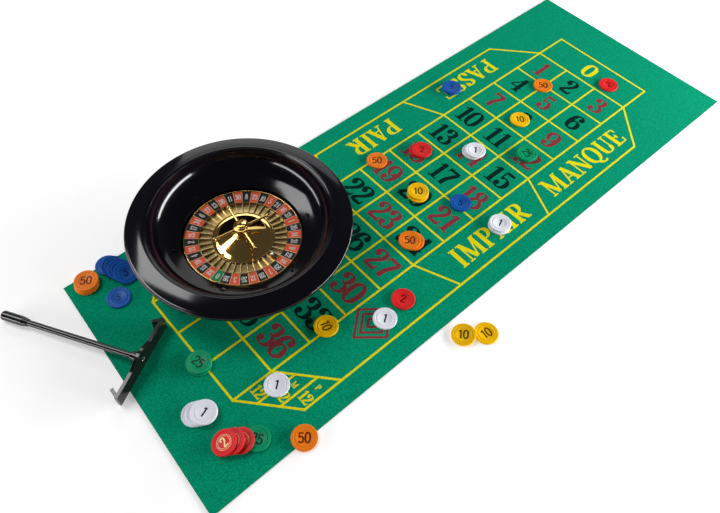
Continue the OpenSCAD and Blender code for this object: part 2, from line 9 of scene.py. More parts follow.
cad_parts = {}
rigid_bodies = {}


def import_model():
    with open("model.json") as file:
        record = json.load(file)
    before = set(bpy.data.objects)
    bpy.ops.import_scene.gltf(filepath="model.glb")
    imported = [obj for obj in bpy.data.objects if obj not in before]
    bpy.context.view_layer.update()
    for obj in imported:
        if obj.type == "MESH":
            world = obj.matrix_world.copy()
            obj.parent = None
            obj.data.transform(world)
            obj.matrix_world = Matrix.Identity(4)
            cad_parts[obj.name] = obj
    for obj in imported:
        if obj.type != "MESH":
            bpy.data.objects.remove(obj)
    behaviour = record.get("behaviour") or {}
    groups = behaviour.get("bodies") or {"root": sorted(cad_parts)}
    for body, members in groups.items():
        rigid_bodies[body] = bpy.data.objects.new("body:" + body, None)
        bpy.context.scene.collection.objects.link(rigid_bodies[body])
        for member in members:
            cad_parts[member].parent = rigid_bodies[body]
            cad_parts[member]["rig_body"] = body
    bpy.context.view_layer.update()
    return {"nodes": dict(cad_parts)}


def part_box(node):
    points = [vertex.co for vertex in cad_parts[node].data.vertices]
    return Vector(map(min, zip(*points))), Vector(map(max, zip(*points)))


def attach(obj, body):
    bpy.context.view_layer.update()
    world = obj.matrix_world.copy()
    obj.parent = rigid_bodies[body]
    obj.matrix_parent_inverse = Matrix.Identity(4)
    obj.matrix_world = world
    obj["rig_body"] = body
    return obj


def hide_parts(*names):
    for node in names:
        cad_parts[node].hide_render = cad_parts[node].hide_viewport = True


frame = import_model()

# ---- Felt ----
# One sheet of green needle felt, 1.2 mm thick and 370 mm wide, laid flat on the table. Its end by the
# wheel is cut askew: one edge is 1004 mm long, the other 1021 mm. Its fibres make fine mottling.

MM = 0.001
cloth_low, cloth_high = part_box("layout_cloth")
cloth_top = cloth_high.z
CLOTH_SKEW = 17 * MM


def sheet_faces(rows, columns, wrap_rows, wrap_columns):
    """Quads of a grid of points counted row by row, joined round where it wraps."""
    index = np.arange(rows * columns).reshape(rows, columns)
    if wrap_rows:
        index = np.vstack([index, index[:1]])
    if wrap_columns:
        index = np.hstack([index, index[:, :1]])
    corners = [index[:-1, :-1], index[1:, :-1], index[1:, 1:], index[:-1, 1:]]
    return np.stack(corners, -1).reshape(-1, 4)


def build(name, patches, finishes, body, stands_for=(), sharp=35.0):
    """One mesh of several patches, each (points, wrap_rows, wrap_columns, finish number or array).

    Points are rows x columns x 3. Patches are welded where they meet, so poles and seams close, and
    the faces of each closed shell are turned outwards."""
    points, quads, kinds, start = [], [], [], 0
    for patch, wrap_rows, wrap_columns, kind in patches:
        rows, columns = patch.shape[:2]
        points.append(patch.reshape(-1, 3))
        faces = sheet_faces(rows, columns, wrap_rows, wrap_columns) + start
        quads.append(faces)
        kinds.append(np.broadcast_to(kind, len(faces)))
        start += rows * columns
    mesh = bpy.data.meshes.new(name)
    mesh.from_pydata(np.concatenate(points), [], np.concatenate(quads))
    for finish in finishes:
        mesh.materials.append(finish)
    mesh.polygons.foreach_set("material_index", np.concatenate(kinds).astype(np.int32))
    shell = bmesh.new()
    shell.from_mesh(mesh)
    bmesh.ops.remove_doubles(shell, verts=shell.verts, dist=1e-6)
    bmesh.ops.recalc_face_normals(shell, faces=shell.faces)
    shell.to_mesh(mesh)
    shell.free()
    mesh.polygons.foreach_set("use_smooth", np.ones(len(mesh.polygons), bool))
    mesh.set_sharp_from_angle(angle=math.radians(sharp))
    piece = bpy.data.objects.new(name, mesh)
    bpy.context.scene.collection.objects.link(piece)
    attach(piece, body)
    if stands_for:
        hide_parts(*stands_for)
    return piece


def paint(name, colour, roughness, metal=0.0, coat=0.0, specular=0.5):
    """A plain finish, with its shader returned for patterns to be joined to."""
    finish = bpy.data.materials.new(name)
    finish.use_nodes = True
    shader = finish.node_tree.nodes["Principled BSDF"]
    shader.inputs["Base Color"].default_value = (*colour, 1)
    shader.inputs["Roughness"].default_value = roughness
    shader.inputs["Metallic"].default_value = metal
    shader.inputs["Coat Weight"].default_value = coat
    shader.inputs["Coat Roughness"].default_value = 0.04
    shader.inputs["Specular IOR Level"].default_value = specular
    return finish, shader


def node(finish, kind, **settings):
    """Adds a node of that kind and sets its inputs and its own settings by name."""
    made = finish.node_tree.nodes.new(kind)
    for key, value in settings.items():
        if key in made.inputs:
            made.inputs[key].default_value = value
        else:
            setattr(made, key, value)
    return made


def grain(finish, scale, detail=4.0, roughness=0.55):
    """Noise over the piece's own place, in grains per metre."""
    place = node(finish, "ShaderNodeTexCoord")
    noise = node(finish, "ShaderNodeTexNoise", Scale=scale, Detail=detail, Roughness=roughness)
    finish.node_tree.links.new(place.outputs["Object"], noise.inputs["Vector"])
    return noise.outputs["Fac"]


def between(finish, amount, low, high, first, second):
    """A colour that goes from first to second as amount goes from low to high."""
    ramp = node(finish, "ShaderNodeValToRGB")
    ramp.color_ramp.elements[0].position = low
    ramp.color_ramp.elements[0].color = (*first, 1)
    ramp.color_ramp.elements[1].position = high
    ramp.color_ramp.elements[1].color = (*second, 1)
    finish.node_tree.links.new(amount, ramp.inputs["Fac"])
    return ramp.outputs["Color"]


def relief(finish, shader, amount, strength, depth):
    """Fine relief of that depth in metres."""
    bump = node(finish, "ShaderNodeBump", Strength=strength, Distance=depth)
    finish.node_tree.links.new(amount, bump.inputs["Height"])
    finish.node_tree.links.new(bump.outputs["Normal"], shader.inputs["Normal"])


def felt_finish(name, dark, light):
    """Felt or felt with ink in it: mottled colour and tangled fibres."""
    finish, shader = paint(name, light, 0.95, specular=0.03)
    links = finish.node_tree.links
    mottled = between(finish, grain(finish, 650, 6, 0.75), 0.34, 0.62, dark, light)
    links.new(mottled, shader.inputs["Base Color"])
    relief(finish, shader, grain(finish, 2200, 3, 0.6), 0.5, 0.0004)
    return finish


felt = felt_finish("green_felt", (0.0, 0.12, 0.06), (0.002, 0.4, 0.215))
edge_felt = felt_finish("felt_cut_edge", (0.0, 0.07, 0.035), (0.0, 0.14, 0.07))


def laid_felt():
    """A flat slab: x runs from the askew end, low.x + skew * v, to high.x, where v crosses the width."""
    u, v = np.meshgrid(np.linspace(0, 1, 121), np.linspace(0, 1, 49), indexing="ij")
    askew_end = cloth_low.x + CLOTH_SKEW * v
    gx, gy = askew_end + (cloth_high.x - askew_end) * u, cloth_low.y + (cloth_high.y - cloth_low.y) * v
    top = np.stack([gx, gy, np.full_like(gx, cloth_high.z)], -1)
    under = np.stack([gx, gy, np.full_like(gx, cloth_low.z)], -1)
    sides = []
    for cut in (np.s_[0, :], np.s_[-1, :], np.s_[:, 0], np.s_[:, -1]):
        sides.append((np.stack([top[cut], under[cut]]), False, False, 1))
    return [(top, False, False, 0), (under, False, False, 1)] + sides


cloth = build("felt_cloth", laid_felt(), [felt, edge_felt], "table", ["layout_cloth"])

# ---- Printed layout ----
# The betting layout is screen-printed in three inks: yellow rules and words, crimson and black
# numbers. The ink soaks into the felt and stands barely proud of it.

yellow_ink = felt_finish("yellow_ink", (0.55, 0.55, 0.0), (1.0, 0.86, 0.01))
crimson_ink = felt_finish("crimson_ink", (0.07, 0.05, 0.04), (0.36, 0.03, 0.055))
black_ink = felt_finish("black_ink", (0.0, 0.035, 0.022), (0.004, 0.012, 0.012))

ROWS, COLUMNS = 12, 3
CELL_L, CELL_W = 61 * MM, 60 * MM
RED_NUMBERS = {1, 3, 5, 7, 9, 12, 14, 16, 18, 19, 21, 23, 25, 27, 30, 32, 34, 36}


def spot(row, column):
    """A place on the layout in rows from the zero end and columns from the high side."""
    return np.array([(ROWS / 2 - row) * CELL_L, (COLUMNS / 2 - column) * CELL_W])


# Each character is (width, strokes) on a height of 1. A stroke is its kind and the points it passes.
# loop and curve are drawn with a broad pen, stem and hair are straight, bar is a heavy level stroke,
# slab is a serif and ball is a round end. The last two are left out of plain figures.
STEM, FOOT = ("stem", [(0.2, 0.0), (0.2, 0.99)]), ("slab", [(0.05, 0.02), (0.35, 0.02)])
HEAD = ("slab", [(0.05, 0.98), (0.35, 0.98)])
SIX = [(0.5, 0.8), (0.43, 0.93), (0.32, 0.97), (0.16, 0.85), (0.08, 0.5), (0.13, 0.16), (0.31, 0.02),
       (0.49, 0.14), (0.53, 0.34), (0.45, 0.53), (0.3, 0.58), (0.16, 0.47), (0.1, 0.34)]
BOWL = [(0.2, 0.96), (0.42, 0.97), (0.56, 0.86), (0.56, 0.64), (0.44, 0.5), (0.22, 0.48)]
CHARACTERS = {
    "0": (0.62, [("loop", [(0.31, 0.98), (0.13, 0.82), (0.09, 0.5), (0.13, 0.18), (0.31, 0.02),
                           (0.49, 0.18), (0.53, 0.5), (0.49, 0.82)])]),
    "1": (0.48, [("stem", [(0.28, 0.0), (0.28, 0.99)]), ("hair", [(0.07, 0.8), (0.28, 0.95)]),
                 ("slab", [(0.06, 0.03), (0.5, 0.03)])]),
    "2": (0.6, [("curve", [(0.1, 0.7), (0.15, 0.89), (0.31, 0.97), (0.47, 0.88), (0.49, 0.7),
                           (0.37, 0.47), (0.2, 0.27), (0.09, 0.08)]),
                ("bar", [(0.07, 0.07), (0.55, 0.07)]), ("ball", [(0.16, 0.72)]),
                ("slab", [(0.54, 0.05), (0.56, 0.27)])]),
    "3": (0.6, [("curve", [(0.1, 0.8), (0.18, 0.93), (0.31, 0.97), (0.45, 0.89), (0.46, 0.68),
                           (0.37, 0.55), (0.22, 0.52)]),
                ("curve", [(0.22, 0.52), (0.4, 0.49), (0.52, 0.34), (0.49, 0.12), (0.32, 0.02),
                           (0.17, 0.05), (0.09, 0.18)]),
                ("ball", [(0.15, 0.78)]), ("ball", [(0.14, 0.2)])]),
    "4": (0.64, [("hair", [(0.44, 0.97), (0.05, 0.31)]), ("hair", [(0.03, 0.29), (0.61, 0.29)]),
                 ("stem", [(0.44, 0.0), (0.44, 0.99)]), ("slab", [(0.26, 0.02), (0.6, 0.02)])]),
    "5": (0.62, [("bar", [(0.14, 0.92), (0.52, 0.92)]), ("hair", [(0.14, 0.97), (0.12, 0.5)]),
                 ("curve", [(0.12, 0.5), (0.27, 0.6), (0.44, 0.54), (0.52, 0.34), (0.47, 0.12),
                            (0.31, 0.02), (0.17, 0.05), (0.09, 0.17)]), ("ball", [(0.14, 0.2)])]),
    "6": (0.62, [("curve", SIX[:8]), ("curve", SIX[6:]), ("ball", [(0.46, 0.79)])]),
    "7": (0.6, [("bar", [(0.07, 0.91), (0.57, 0.91)]), ("slab", [(0.09, 0.98), (0.07, 0.74)]),
                ("curve", [(0.54, 0.9), (0.42, 0.62), (0.3, 0.34), (0.26, 0.0)])]),
    "8": (0.62, [("loop", [(0.31, 0.98), (0.17, 0.88), (0.16, 0.7), (0.31, 0.55), (0.46, 0.7),
                           (0.45, 0.88)]),
                 ("loop", [(0.31, 0.56), (0.12, 0.42), (0.1, 0.17), (0.31, 0.02), (0.52, 0.17),
                           (0.5, 0.42)])]),
    "9": (0.62, [("curve", [(0.62 - x, 1 - y) for x, y in SIX[:8]]),
                 ("curve", [(0.62 - x, 1 - y) for x, y in SIX[6:]]), ("ball", [(0.16, 0.21)])]),
    "A": (0.76, [("hair", [(0.13, 0.0), (0.37, 0.96)]), ("stem", [(0.36, 0.99), (0.63, 0.0)]),
                 ("hair", [(0.2, 0.32), (0.53, 0.32)]), ("slab", [(0.02, 0.02), (0.26, 0.02)]),
                 ("slab", [(0.46, 0.02), (0.76, 0.02)])]),
    "D": (0.76, [STEM, ("curve", [(0.2, 0.97), (0.42, 0.95), (0.61, 0.78), (0.65, 0.5), (0.61, 0.22),
                                  (0.42, 0.05), (0.2, 0.03)]), FOOT, HEAD]),
    "E": (0.68, [STEM, ("hair", [(0.2, 0.96), (0.57, 0.96)]), ("hair", [(0.2, 0.52), (0.44, 0.52)]),
                 ("hair", [(0.2, 0.04), (0.6, 0.04)]), ("slab", [(0.57, 0.98), (0.58, 0.74)]),
                 ("slab", [(0.44, 0.64), (0.44, 0.4)]), ("slab", [(0.59, 0.02), (0.62, 0.28)]), FOOT, HEAD]),
    "I": (0.42, [STEM, FOOT, HEAD]),
    "M": (1.0, [("hair", [(0.16, 0.0), (0.16, 0.98)]), ("stem", [(0.17, 0.99), (0.48, 0.05)]),
                ("hair", [(0.48, 0.05), (0.78, 0.99)]), ("stem", [(0.81, 0.0), (0.81, 0.99)]),
                ("slab", [(0.04, 0.02), (0.28, 0.02)]), ("slab", [(0.66, 0.02), (0.96, 0.02)]),
                ("slab", [(0.02, 0.98), (0.2, 0.98)]), ("slab", [(0.76, 0.98), (0.96, 0.98)])]),
    "N": (0.82, [("hair", [(0.16, 0.0), (0.16, 0.98)]), ("stem", [(0.15, 0.99), (0.65, 0.02)]),
                 ("hair", [(0.66, 0.0), (0.66, 0.98)]), ("slab", [(0.03, 0.02), (0.29, 0.02)]),
                 ("slab", [(0.02, 0.98), (0.2, 0.98)]), ("slab", [(0.52, 0.98), (0.79, 0.98)])]),
    "P": (0.66, [STEM, ("curve", BOWL), FOOT, HEAD]),
    "Q": (0.78, [("loop", [(0.38, 0.99), (0.16, 0.83), (0.1, 0.5), (0.16, 0.17), (0.38, 0.01),
                           (0.6, 0.17), (0.66, 0.5), (0.6, 0.83)]),
                 ("curve", [(0.36, 0.0), (0.46, -0.12), (0.6, -0.18), (0.74, -0.12)])]),
    "R": (0.74, [STEM, ("curve", BOWL), ("stem", [(0.36, 0.48), (0.6, 0.02)]),
                 ("slab", [(0.5, 0.02), (0.74, 0.02)]), FOOT, HEAD]),
    "S": (0.6, [("curve", [(0.47, 0.76), (0.41, 0.92), (0.28, 0.97), (0.14, 0.86), (0.15, 0.68),
                           (0.3, 0.53), (0.44, 0.38), (0.47, 0.18), (0.34, 0.03), (0.18, 0.04), (0.1, 0.22)]),
                ("slab", [(0.49, 0.98), (0.48, 0.7)]), ("slab", [(0.08, 0.02), (0.09, 0.3)])]),
    "U": (0.8, [("stem", [(0.2, 0.99), (0.2, 0.3)]),
                ("curve", [(0.2, 0.32), (0.25, 0.1), (0.42, 0.03), (0.58, 0.12), (0.63, 0.32)]),
                ("hair", [(0.63, 0.3), (0.63, 0.98)]), ("slab", [(0.05, 0.98), (0.35, 0.98)]),
                ("slab", [(0.51, 0.98), (0.76, 0.98)])]),
}


def smooth_line(points, closed, steps=7):
    """A curve through the points whose slope at each is that of the chord between its neighbours."""
    p = np.array(points, float)
    if closed:
        ends = np.vstack([p[-1:], p, p[:2]])
    else:
        ends = np.vstack([2 * p[0] - p[1], p, 2 * p[-1] - p[-2]])
    a, b, c, d = (ends[k : len(ends) - 3 + k, None] for k in range(4))
    t = (np.arange(steps) / steps)[None, :, None]
    curve = 0.5 * (2 * b + (c - a) * t + (2 * a - 5 * b + 4 * c - d) * t**2 + (3 * b - a - 3 * c + d) * t**3)
    curve = curve.reshape(-1, 2)
    return curve if closed else np.vstack([curve, p[-1:]])


def stroke_edges(kind, points, heavy, light):
    """The left and right edge of one pen stroke. Its width is heavy going up and light going across."""
    closed = kind == "loop"
    if kind == "ball":
        turn = np.linspace(0, math.tau, 13)[:-1]
        ring = np.stack([np.cos(turn), np.sin(turn)], -1) * heavy * 0.62
        return ring + points[0], np.tile(np.array(points, float), (12, 1)), True
    line = smooth_line(points, closed) if kind in ("loop", "curve") else np.array(points, float)
    if closed:
        along = np.roll(line, -1, 0) - np.roll(line, 1, 0)
    else:
        along = np.gradient(line, axis=0)
    along = along / np.linalg.norm(along, axis=1)[:, None]
    widths = {"stem": heavy, "hair": light, "slab": light, "bar": max(light, heavy * 0.72)}
    if kind in widths:
        width = np.full(len(line), widths[kind])
    else:
        width = light + (heavy - light) * np.abs(along[:, 1]) ** 1.6
    side = np.stack([-along[:, 1], along[:, 0]], -1) * width[:, None] / 2
    return line + side, line - side, closed


def lettering(text, height, heavy=0.2, light=0.07, serifs=True, narrow=1.0):
    """Strokes of a line of text, centred on the origin, as (left edge, right edge, closed)."""
    strokes, x = [], 0.0
    for character in text:
        width, drawn = CHARACTERS[character]
        for kind, points in drawn:
            if serifs or kind not in ("slab", "ball"):
                left, right, closed = stroke_edges(kind, points, heavy / narrow, light)
                strokes.append((left + (x, 0), right + (x, 0), closed))
        x += width
    scale = np.array([height * narrow, height])
    middle = np.array([x / 2, 0.5])
    return [((a - middle) * scale, (b - middle) * scale, closed) for a, b, closed in strokes]


def printed(strokes, lay, sink, proud, kind=0):
    """Closed slabs of ink over strokes: lay turns flat points and a height into places in space.

    Each slab is 5% thicker than the one before, so that no two of them share a face where they cross.
    """
    patches = []
    for k, (left, right, closed) in enumerate(strokes):
        top, low = proud * (1 + 0.05 * k), -sink * (1 + 0.05 * k)
        ring = [lay(left, low), lay(left, top), lay(right, top), lay(right, low)]
        section = np.stack(ring, 1)
        patches.append((section, closed, True, kind))
        if not closed:
            for end in (section[0], section[-1]):
                patches.append((end[[[0, 1], [3, 2]]], False, False, kind))
    return patches


def on_cloth(middle, along):
    """A way of laying flat points on the cloth about a place, reading in the direction of along."""
    along = np.array(along, float)
    up = np.array([-along[1], along[0]])

    def lay(flat, height):
        place = middle + flat[:, :1] * along + flat[:, 1:] * up
        return np.column_stack([place, np.full(len(place), cloth_top + height)])

    return lay


INK_SINK, INK_PROUD = 0.15 * MM, 0.03 * MM
RULE = 3 * MM


def rule(start, end, width=RULE):
    """A straight printed line between two places on the layout, given as row and column."""
    a, b = spot(*start), spot(*end)
    along = (b - a) / np.linalg.norm(b - a)
    a, b = a - along * width / 2, b + along * width / 2
    side = np.array([-along[1], along[0]]) * width / 2
    return (np.array([a + side, b + side]), np.array([a - side, b - side]), False)


FLANK, LAST = 1.09, 12.95
rules = [rule((row, 0), (row, 3)) for row in range(ROWS + 1)]
rules += [rule((0, column), (LAST, column)) for column in range(4)]
rules += [rule((-1, 0), (-1, 3)), rule((-1, 0), (0, 0)), rule((-1, 3), (0, 3)), rule((LAST, 0), (LAST, 3))]
for flank, edge in ((3, 3 + FLANK), (0, -FLANK)):
    step = edge - flank
    rules.append(rule((1, edge), (12, edge)))
    for inner, outer in ((0, 1), (4, 4.5), (8, 7.55), (12, 11.04), (LAST, 12)):
        rules.append(rule((inner, flank), (outer, edge)))
    for share in (0.34, 0.66):
        across = flank + step * share
        rules.append(rule((12 - 0.96 * share, across), (LAST - 0.95 * share, across)))

TOWARD_ZERO, TOWARD_END, ACROSS = (1, 0), (-1, 0), (0, -1)
yellow = printed(rules, on_cloth(np.zeros(2), (1, 0)), INK_SINK, INK_PROUD)
zero = lettering("0", 34 * MM, 0.2, 0.07, narrow=1.1)
yellow += printed(zero, on_cloth(spot(-0.5, 1.45), ACROSS), INK_SINK, INK_PROUD)
WORDS = [
    ("MANQUE", (2.45, 3.55), TOWARD_ZERO, 1.2), ("IMPAIR", (6.0, 3.55), TOWARD_ZERO, 1.14),
    ("PASSE", (2.45, -0.6), TOWARD_END, 1.21), ("PAIR", (5.97, -0.6), TOWARD_END, 1.145),
]
for word, middle, along, narrow in WORDS:
    written = lettering(word, 32 * MM, 0.21, 0.07, narrow=narrow)
    yellow += printed(written, on_cloth(spot(*middle), along), INK_SINK, INK_PROUD)
for side, edge in ((1, 3), (-1, 0)):
    for share, initial in ((0.17, "D"), (0.5, "M"), (0.83, "P")):
        row, column = 12.5 - 0.96 * share, edge + side * FLANK * share
        dozen, part = lettering("12", 15 * MM, 0.2, 0.07), lettering(initial, 8 * MM, 0.2, 0.09)
        yellow += printed(dozen, on_cloth(spot(row + 0.12, column), ACROSS), INK_SINK, INK_PROUD)
        yellow += printed(part, on_cloth(spot(row - 0.2, column), ACROSS), INK_SINK, INK_PROUD)
build("layout_rules_and_words", yellow, [yellow_ink], "table")

for colour, ink, wanted in (("crimson", crimson_ink, True), ("black", black_ink, False)):
    figures = []
    for number in range(1, 37):
        if (number in RED_NUMBERS) == wanted:
            middle = spot((number - 1) // 3 + 0.5, (number - 1) % 3 + 0.5)
            drawn = lettering(str(number), 37 * MM, 0.2, 0.065)
            figures += printed(drawn, on_cloth(middle, ACROSS), INK_SINK, INK_PROUD)
    column = 3.515 if wanted else -0.515
    for size in (0.57, 0.39, 0.19):
        corners = [spot(9.7 + size, column), spot(9.7, column + size * 0.86)]
        corners = np.array(corners + [spot(9.7 - size, column), spot(9.7, column - size * 0.86)])
        inner = spot(9.7, column) + (corners - spot(9.7, column)) * (1 - 0.09 / size)
        figures += printed([(corners, inner, True)], on_cloth(np.zeros(2), (1, 0)), INK_SINK, INK_PROUD)
    build("layout_%s_figures" % colour, figures, [ink], "table")

# ---- Bowl ----
# One injection-moulded shell of glossy black plastic: a rolled outer rim, a lip with a double bead,
# the steep ball track, the sloping apron, the cup for the rotor and a foot ring.

bowl_low, bowl_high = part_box("bowl")
axis_x, axis_y = (bowl_low.x + bowl_high.x) / 2, (bowl_low.y + bowl_high.y) / 2
ROUND = 240


def arc(x, y, radius, start, end, steps):
    """Points of a circle's arc from one angle to another, in degrees."""
    turn = np.radians(np.linspace(start, end, steps + 1))
    return np.stack([x + radius * np.cos(turn), y + radius * np.sin(turn)], -1)


def turned(profile, segments=ROUND):
    """A profile of (radius, height) in millimetres above the cloth, carried round the wheel's axis."""
    radius, height = np.array(profile, float).T * MM
    turn = np.arange(segments) * math.tau / segments
    x = axis_x + radius[:, None] * np.cos(turn)
    y = axis_y + radius[:, None] * np.sin(turn)
    z = np.broadcast_to(cloth_top + height[:, None], x.shape)
    return (np.stack([x, y, z], -1), True, True, 0)


def moulding(name, colour, roughness, ripple):
    """Polished black plastic with the slightest ripple left by the mould."""
    finish, shader = paint(name, colour, roughness, specular=0.4)
    relief(finish, shader, grain(finish, 60, 2, 0.4), ripple, 0.0006)
    return finish


bowl_black = moulding("polished_black_bowl", (0.0022, 0.002, 0.0045), 0.12, 0.015)
LIP_R, CUP_R, APRON_Z, CREST_R, RIM_R, RIM_Z = 121.0, 83.6, 25.8, 125.5, 150.5, 65.0
TRACK_R, TRACK_LOW, TRACK_HIGH = 36.88, 23.3, 80.0
sines = [math.sin(math.radians(a)) for a in (TRACK_LOW, TRACK_HIGH)]
apron_end_r = LIP_R - 0.5 - TRACK_R * (sines[1] - sines[0])
apron_end_z = APRON_Z + (apron_end_r - CUP_R) * math.tan(math.radians(TRACK_LOW))
track_x = apron_end_r - TRACK_R * sines[0]
track_z = apron_end_z + TRACK_R * math.cos(math.radians(TRACK_LOW))
share = np.linspace(0, 1, 25)[1:]
rim_curve = np.stack([CREST_R + (RIM_R - 3.2 - CREST_R) * share, RIM_Z - 5.8 * share**1.4], -1)
bowl_profile = np.vstack([
    [(3.05, 8.4), (3.05, 11.4), (83.0, 11.4)], arc(83.0, 12.0, 0.6, -90, 0, 4),
    [(83.6, 25.2)], arc(84.2, 25.35, 0.6, 180, 113, 4),
    arc(track_x, track_z, TRACK_R, TRACK_LOW - 90, TRACK_HIGH - 90, 40),
    [(120.7, 61.2)], arc(121.5, 63.6, 0.5, 180, 90, 4), [(122.2, 64.05)],
    arc(123.3, 64.0, 0.55, 150, 30, 5), [(124.2, 64.4), (124.8, 64.8), (125.5, 64.95)],
    rim_curve, arc(RIM_R - 3.2, 56, 3.2, 75, -60, 16),
    [(148.9, 51.0), (148.7, 50.2)], [(146.7, 50.2), (146.3, 52.6), (128.5, 59.8), (125.6, 59.0)],
    arc(track_x, track_z, TRACK_R + 3, TRACK_HIGH - 92, TRACK_LOW - 86, 16),
    [(93.0, 27.0), (92, 25.5), (92, 1.3), (91.7, 1.0), (85.3, 1.0), (85, 1.3), (85, 8.4)],
])
bowl = build("bowl_shell", [turned(bowl_profile)], [bowl_black], "wheel", ["bowl"], sharp=50)

# ---- Deflectors, base plate and feet ----
# Six glossy black lozenge deflectors stand on the apron. The base plate is screwed on from below,
# and the foot ring stands on rubber pads.


def finish_nodes(names, finish):
    """Gives CAD nodes their finish."""
    for name in names:
        piece = frame["nodes"][name]
        piece.data.materials.clear()
        piece.data.materials.append(finish)


def metal(name, colour, roughness, worn, edge=0.00015):
    """Polished metal with softened edges and faint marks that break up its shine."""
    finish, shader = paint(name, colour, roughness, metal=1.0)
    marks = grain(finish, 420, 5, 0.65)
    shine = node(finish, "ShaderNodeMapRange")
    shine.inputs["To Min"].default_value = roughness * 0.7
    shine.inputs["To Max"].default_value = roughness + worn
    finish.node_tree.links.new(marks, shine.inputs["Value"])
    finish.node_tree.links.new(shine.outputs["Result"], shader.inputs["Roughness"])
    bevel = node(finish, "ShaderNodeBevel", Radius=edge, samples=4)
    finish.node_tree.links.new(bevel.outputs["Normal"], shader.inputs["Normal"])
    return finish


steel = metal("bright_steel", (0.62, 0.62, 0.64), 0.2, 0.18)
finish_nodes(["base_screws", "spindle", "spindle_nut"], steel)
deflector_black, deflector_shader = paint("deflector_black", (0.003, 0.003, 0.004), 0.08, coat=0.5)
deflector_edge = node(deflector_black, "ShaderNodeBevel", Radius=0.0004, samples=6)
deflector_black.node_tree.links.new(deflector_edge.outputs["Normal"], deflector_shader.inputs["Normal"])
finish_nodes(["deflectors"], deflector_black)
rubber, rubber_shader = paint("pad_rubber", (0.02, 0.02, 0.02), 0.8)
relief(rubber, rubber_shader, grain(rubber, 3000, 3), 0.4, 0.0001)
finish_nodes(["foot_pads"], rubber)
plate_black, plate_shader = paint("textured_black_plate", (0.012, 0.012, 0.013), 0.5)
relief(plate_black, plate_shader, grain(plate_black, 1800, 2), 0.5, 0.0001)
finish_nodes(["base_plate"], plate_black)

# ---- Bearing ----
# A ball bearing of the common 8 x 22 x 7 mm size carries the rotor on the spindle. Races and balls
# are ground steel, and a pressed brass cage spaces the balls.

ground_steel = metal("ground_steel", (0.68, 0.68, 0.69), 0.12, 0.08)
finish_nodes(["bearing_inner_race", "bearing_outer_race", "bearing_balls"], ground_steel)
cage_brass = metal("cage_brass", (0.72, 0.5, 0.2), 0.3, 0.2)
finish_nodes(["bearing_cage"], cage_brass)

# ---- Rotor dish ----
# A moulded black dish turns on the bearing. Its raised rim backs the number ring, and a thin gold
# band covers the rim's edge.

rotor_black = moulding("polished_black_rotor", (0.005, 0.005, 0.007), 0.2, 0.02)
finish_nodes(["rotor_dish"], rotor_black)
gold = metal("mirror_gold", (0.93, 0.6, 0.19), 0.06, 0.05)
band_profile = np.vstack([[(79.2, 21.9), (80.97, 21.9)], arc(80.55, 22.15, 0.4, 0, 90, 6),
                          arc(79.65, 22.15, 0.4, 90, 180, 6)])
band = build("gold_rim_band", [turned(band_profile)], [gold], "rotor", ["rim_band"])

# ---- Number ring ----
# A printed plastic ring with 37 boxes in the European wheel's order: zero on green, the rest red
# and black in turn, with white figures whose tops point outwards and thin pale lines between them.

POCKETS = [0, 32, 15, 19, 4, 21, 2, 25, 17, 34, 6, 27, 13, 36, 11, 30, 8, 23, 10, 5, 24, 16, 33, 1,
           20, 14, 31, 9, 22, 18, 29, 7, 28, 12, 35, 3, 26]
ZERO_TURN = math.radians(-153.9)
PITCH = math.tau / len(POCKETS)
RING_IN, RING_OUT, RING_LOW, RING_HIGH, RING_T = 61.1, 79.1, 20.3, 21.5, 0.75


def print_gloss(name, colour):
    """Printed plastic with a satin varnish."""
    finish, shader = paint(name, colour, 0.45, specular=0.25)
    relief(finish, shader, grain(finish, 900, 2), 0.05, 0.00005)
    return finish


ring_red = print_gloss("ring_red", (0.95, 0.115, 0.033))
ring_black = print_gloss("ring_black", (0.008, 0.008, 0.01))
ring_green = print_gloss("ring_green", (0.0, 0.27, 0.09))
ring_white = print_gloss("ring_white", (0.85, 0.83, 0.78))
ring_line = metal("ring_line_gold", (0.95, 0.78, 0.5), 0.3, 0.1)


def number_ring():
    """The ring's section carried round in steps of a sixth of a box, each face taking its box's colour."""
    steps = 6 * len(POCKETS)
    section = np.array([(RING_IN, RING_LOW - RING_T + 0.01), (RING_IN, RING_LOW), (RING_OUT, RING_HIGH),
                        (RING_OUT, RING_HIGH - RING_T)]) * MM
    turn = ZERO_TURN + PITCH / 2 - np.arange(steps) * math.tau / steps
    x = axis_x + section[:, :1] * np.cos(turn)
    y = axis_y + section[:, :1] * np.sin(turn)
    z = np.broadcast_to(cloth_top + section[:, 1:], x.shape)
    box = np.arange(steps) // 6
    number = np.array(POCKETS)[box]
    red = np.isin(number, list(RED_NUMBERS))
    kind = np.where(number == 0, 2, np.where(red, 0, 1))
    return (np.stack([x, y, z], -1), True, True, np.tile(kind, 4))


ring_paints = [ring_red, ring_black, ring_green]
ring = build("number_ring_boxes", [number_ring()], ring_paints, "rotor", ["number_ring"])


def on_ring(middle_turn, middle_radius):
    """A way of laying flat points on the ring: x goes round it clockwise and y goes outwards."""

    def lay(flat, height):
        radius = middle_radius + flat[:, 1]
        turn = middle_turn - flat[:, 0] / radius
        rise = (radius / MM - RING_IN) / (RING_OUT - RING_IN) * (RING_HIGH - RING_LOW) + RING_LOW
        return np.column_stack([axis_x + radius * np.cos(turn), axis_y + radius * np.sin(turn),
                                cloth_top + rise * MM + height])

    return lay


